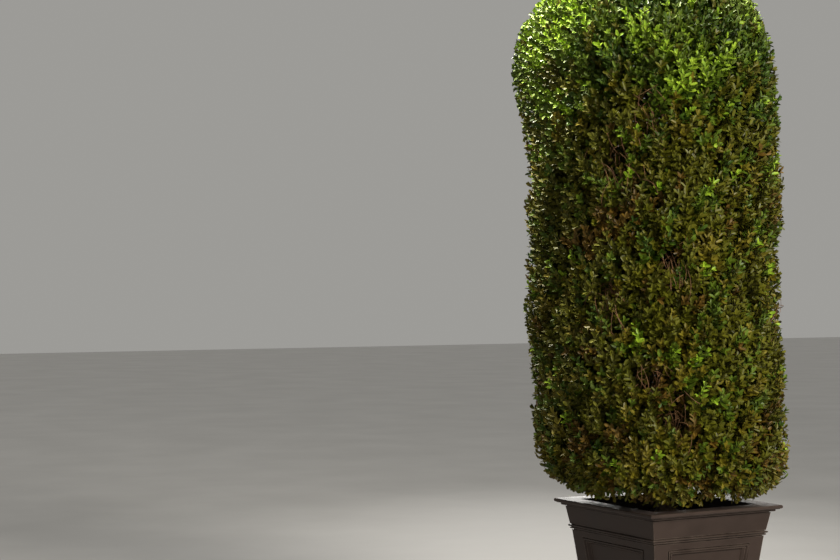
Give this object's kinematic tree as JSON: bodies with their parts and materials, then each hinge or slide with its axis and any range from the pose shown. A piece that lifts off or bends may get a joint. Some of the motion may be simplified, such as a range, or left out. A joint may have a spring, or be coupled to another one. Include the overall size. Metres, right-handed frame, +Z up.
{
  "type": "clipped boxwood column in planter",
  "caption": "Boxwood shrub clipped as a tall round column with a domed top, growing in a square tapered planter with moulded rim and panelled sides.",
  "frame": {"origin": "middle of the planter's flat underside, where it stands on the ground", "axes": "+Z up along the plant, -Y towards the planter side that is brightest in the picture, +X to the right of that side"},
  "size_m": [0.9175, 0.9104, 2.5992],
  "materials": {
    "planter_paint": "satin dark charcoal paint",
    "potting_soil": "matte",
    "bark": "rough",
    "foliage": "semi-gloss leaves"
  },
  "bodies": {
    "root": {"planter_box": "planter_paint", "soil": "potting_soil", "planter_rim_front": "planter_paint", "planter_frieze_front": "planter_paint", "planter_belt_front": "planter_paint", "planter_plinth_front": "planter_paint", "planter_frame_front": "planter_paint", "planter_bead_front": "planter_paint", "planter_rim_right": "planter_paint", "planter_frieze_right": "planter_paint", "planter_belt_right": "planter_paint", "planter_plinth_right": "planter_paint", "planter_frame_right": "planter_paint", "planter_bead_right": "planter_paint", "planter_rim_back": "planter_paint", "planter_frieze_back": "planter_paint", "planter_belt_back": "planter_paint", "planter_plinth_back": "planter_paint", "planter_frame_back": "planter_paint", "planter_bead_back": "planter_paint", "planter_rim_left": "planter_paint", "planter_frieze_left": "planter_paint", "planter_belt_left": "planter_paint", "planter_plinth_left": "planter_paint", "planter_frame_left": "planter_paint", "planter_bead_left": "planter_paint", "trunk": "bark", "bough_lower_right": "bark", "foliage_lower_right": "foliage", "bough_lower_back": "bark", "foliage_lower_back": "foliage", "bough_lower_left": "bark", "foliage_lower_left": "foliage", "bough_lower_front": "bark", "foliage_lower_front": "foliage", "bough_middle_back_right": "bark", "foliage_middle_back_right": "foliage", "bough_middle_back_left": "bark", "foliage_middle_back_left": "foliage", "bough_middle_front_left": "bark", "foliage_middle_front_left": "foliage", "bough_middle_front_right": "bark", "foliage_middle_front_right": "foliage", "bough_upper_right": "bark", "foliage_upper_right": "foliage", "bough_upper_back": "bark", "foliage_upper_back": "foliage", "bough_upper_left": "bark", "foliage_upper_left": "foliage", "bough_upper_front": "bark", "foliage_upper_front": "foliage", "foliage_dome": "foliage"}
  },
  "joints": []
}
